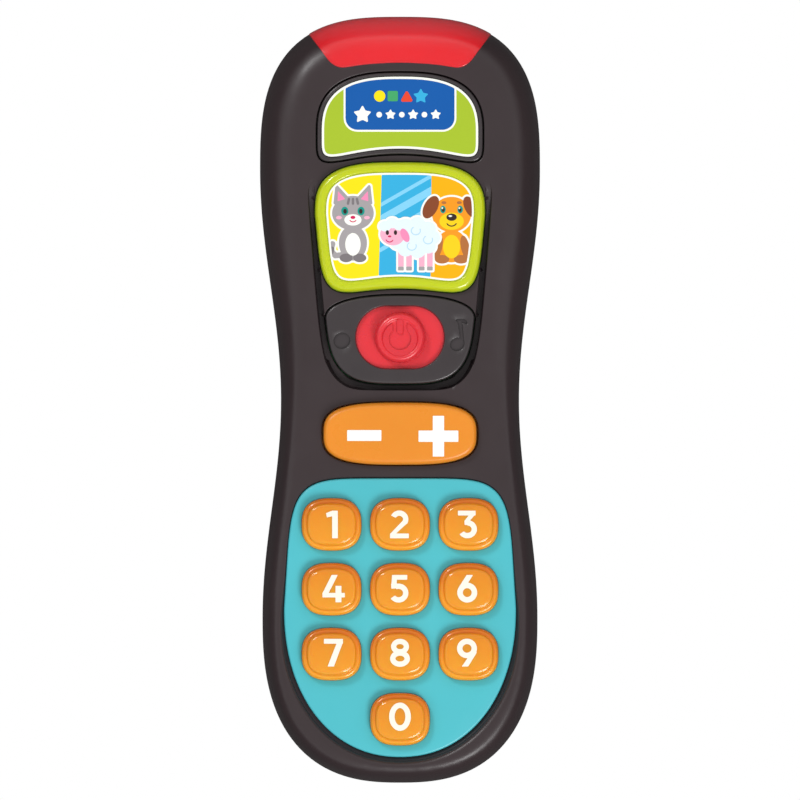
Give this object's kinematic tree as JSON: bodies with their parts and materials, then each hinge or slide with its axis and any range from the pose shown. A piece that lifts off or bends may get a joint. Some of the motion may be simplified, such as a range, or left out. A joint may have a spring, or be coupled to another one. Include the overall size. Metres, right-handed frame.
{
  "type": "toy cell phone",
  "caption": "Toddler's toy phone: waisted clamshell casing with number keys, volume rocker, slide switch, picture button, lit end lens, speaker and battery door.",
  "frame": {"origin": "under the middle of the phone, on the flat of its back, which is the surface that it lies on", "axes": "+Z out of the key face, +Y along the phone from the keypad towards the lens, +X to the right seen from the key face with the lens up"},
  "size_m": [0.0622, 0.17, 0.0294],
  "materials": {
    "shell_plastic": "satin moulded ABS, charcoal",
    "lens_plastic": "glossy translucent red polystyrene",
    "slider_plastic": "glossy red ABS",
    "button_plastic": "glossy translucent lime polystyrene",
    "key_plastic": "glossy translucent orange polystyrene",
    "rocker_plastic": "satin opaque orange ABS",
    "plate_plastic": "satin turquoise ABS",
    "label_print": "printed and laminated label",
    "silicone": "matt translucent silicone",
    "board": "green solder mask",
    "black_plastic": "black moulded plastic",
    "red_insulation": "red wire insulation",
    "steel": "zinc-plated steel",
    "nickel": "nickel-plated spring steel",
    "speaker_body": "dark driver body with a steel magnet",
    "cell_jacket": "printed film over a metal can"
  },
  "bodies": {
    "casing": {"front_shell": "shell_plastic", "rear_shell": "shell_plastic", "signal_lens": "lens_plastic", "casing_screw_1": "steel", "casing_screw_2": "steel", "casing_screw_3": "steel", "casing_screw_4": "steel", "casing_screw_5": "steel", "casing_screw_6": "steel", "badge_frame": "shell_plastic", "badge_label": "label_print", "switch_plate": "shell_plastic", "slide_switch": "nickel", "rocker_mat": "silicone", "picture_mat": "silicone", "keypad_plate": "plate_plastic", "key_mat": "silicone", "main_board": "board", "epoxy_chip": "black_plastic", "speaker": "speaker_body", "signal_led": "lens_plastic", "picture_led": "button_plastic", "battery_left": "cell_jacket", "battery_right": "cell_jacket", "contact_spring_left": "nickel", "contact_plate_right": "nickel", "contact_plate_left": "nickel", "contact_spring_right": "nickel", "battery_lead_red": "red_insulation", "battery_lead_black": "black_plastic", "speaker_lead_red": "red_insulation", "speaker_lead_black": "black_plastic"},
    "battery_door": {"battery_door": "shell_plastic", "battery_door_screw": "steel"},
    "picture_button": {"picture_button": "button_plastic", "picture_label": "label_print"},
    "switch_slider": {"switch_slider": "slider_plastic", "switch_lever": "black_plastic"},
    "volume_rocker": {"volume_rocker": "rocker_plastic"},
    "key_1": {"key_1": "key_plastic"},
    "key_2": {"key_2": "key_plastic"},
    "key_3": {"key_3": "key_plastic"},
    "key_4": {"key_4": "key_plastic"},
    "key_5": {"key_5": "key_plastic"},
    "key_6": {"key_6": "key_plastic"},
    "key_7": {"key_7": "key_plastic"},
    "key_8": {"key_8": "key_plastic"},
    "key_9": {"key_9": "key_plastic"},
    "key_0": {"key_0": "key_plastic"}
  },
  "joints": [
    {"name": "battery_door_swing", "type": "hinge", "parent": "casing", "child": "battery_door", "pos_m": [0, -0.01315, 0.0002], "axis": [1, 0, 0], "range_deg": [0, 30]},
    {"name": "picture_press", "type": "slide", "parent": "casing", "child": "picture_button", "axis": [0, 0, -1], "range_m": [0, 0.0015], "stiffness_N_per_m": 700, "springref_m": -0.0006, "deforming": ["picture_mat"]},
    {"name": "mode_slide", "type": "slide", "parent": "casing", "child": "switch_slider", "axis": [1, 0, 0], "range_m": [-0.002, 0.002]},
    {"name": "volume_rock", "type": "hinge", "parent": "casing", "child": "volume_rocker", "pos_m": [0, -0.00745, 0.0201], "axis": [0, 1, 0], "range_deg": [-4, 4], "stiffness_Nm_per_rad": 0.08, "deforming": ["rocker_mat"]},
    {"name": "key_1_press", "type": "slide", "parent": "casing", "child": "key_1", "axis": [0, 0, -1], "range_m": [0, 0.0012], "stiffness_N_per_m": 800, "springref_m": -0.0005, "deforming": ["key_mat"]},
    {"name": "key_2_press", "type": "slide", "parent": "casing", "child": "key_2", "axis": [0, 0, -1], "range_m": [0, 0.0012], "stiffness_N_per_m": 800, "springref_m": -0.0005, "deforming": ["key_mat"]},
    {"name": "key_3_press", "type": "slide", "parent": "casing", "child": "key_3", "axis": [0, 0, -1], "range_m": [0, 0.0012], "stiffness_N_per_m": 800, "springref_m": -0.0005, "deforming": ["key_mat"]},
    {"name": "key_4_press", "type": "slide", "parent": "casing", "child": "key_4", "axis": [0, 0, -1], "range_m": [0, 0.0012], "stiffness_N_per_m": 800, "springref_m": -0.0005, "deforming": ["key_mat"]},
    {"name": "key_5_press", "type": "slide", "parent": "casing", "child": "key_5", "axis": [0, 0, -1], "range_m": [0, 0.0012], "stiffness_N_per_m": 800, "springref_m": -0.0005, "deforming": ["key_mat"]},
    {"name": "key_6_press", "type": "slide", "parent": "casing", "child": "key_6", "axis": [0, 0, -1], "range_m": [0, 0.0012], "stiffness_N_per_m": 800, "springref_m": -0.0005, "deforming": ["key_mat"]},
    {"name": "key_7_press", "type": "slide", "parent": "casing", "child": "key_7", "axis": [0, 0, -1], "range_m": [0, 0.0012], "stiffness_N_per_m": 800, "springref_m": -0.0005, "deforming": ["key_mat"]},
    {"name": "key_8_press", "type": "slide", "parent": "casing", "child": "key_8", "axis": [0, 0, -1], "range_m": [0, 0.0012], "stiffness_N_per_m": 800, "springref_m": -0.0005, "deforming": ["key_mat"]},
    {"name": "key_9_press", "type": "slide", "parent": "casing", "child": "key_9", "axis": [0, 0, -1], "range_m": [0, 0.0012], "stiffness_N_per_m": 800, "springref_m": -0.0005, "deforming": ["key_mat"]},
    {"name": "key_0_press", "type": "slide", "parent": "casing", "child": "key_0", "axis": [0, 0, -1], "range_m": [0, 0.0012], "stiffness_N_per_m": 800, "springref_m": -0.0005, "deforming": ["key_mat"]}
  ]
}
